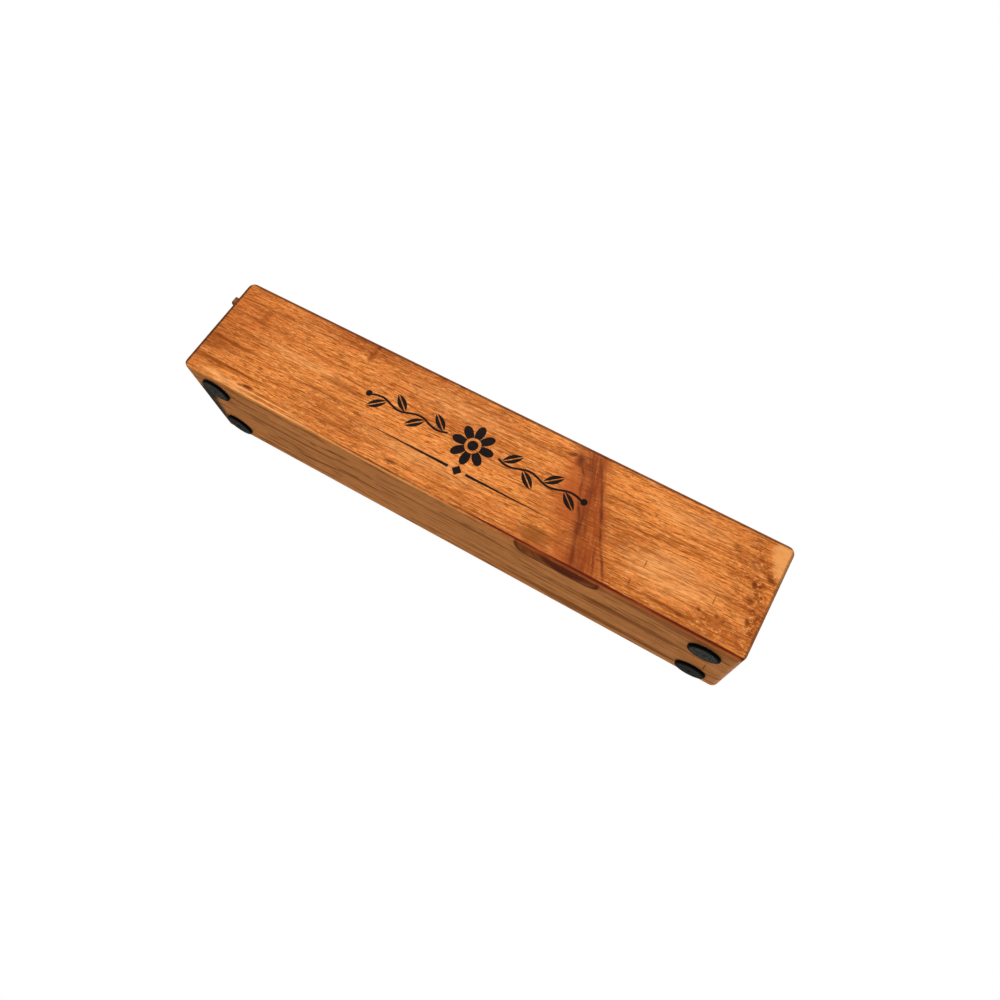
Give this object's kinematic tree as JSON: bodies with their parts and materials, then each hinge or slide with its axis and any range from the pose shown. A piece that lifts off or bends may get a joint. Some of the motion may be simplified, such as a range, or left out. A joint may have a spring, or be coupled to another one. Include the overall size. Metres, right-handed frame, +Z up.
{
  "type": "wooden pencil box",
  "caption": "Long wooden pencil box cut from one block, with a lid that slides in grooves and round rubber pads under it.",
  "frame": {"origin": "under the middle of the whole box, lid end included, on the surface that the pads stand on", "axes": "+Z up, +X along the box away from the end where the lid comes out, -Y towards the front face"},
  "size_m": [0.222, 0.0434, 0.0423],
  "materials": {
    "body_wood": "satin oiled",
    "lid_wood": "satin oiled",
    "pad_rubber": "matte moulded",
    "adhesive_film": "matte film"
  },
  "bodies": {
    "box": {"box_body": "body_wood", "pad_front_left": "pad_rubber", "pad_front_right": "pad_rubber", "pad_back_left": "pad_rubber", "pad_back_right": "pad_rubber", "adhesive_front_left": "adhesive_film", "adhesive_front_right": "adhesive_film", "adhesive_back_left": "adhesive_film", "adhesive_back_right": "adhesive_film"},
    "lid": {"sliding_lid": "lid_wood"}
  },
  "joints": [
    {"name": "lid_slide", "type": "slide", "parent": "box", "child": "lid", "axis": [-1, 0, 0], "range_m": [0, 0.2]}
  ]
}
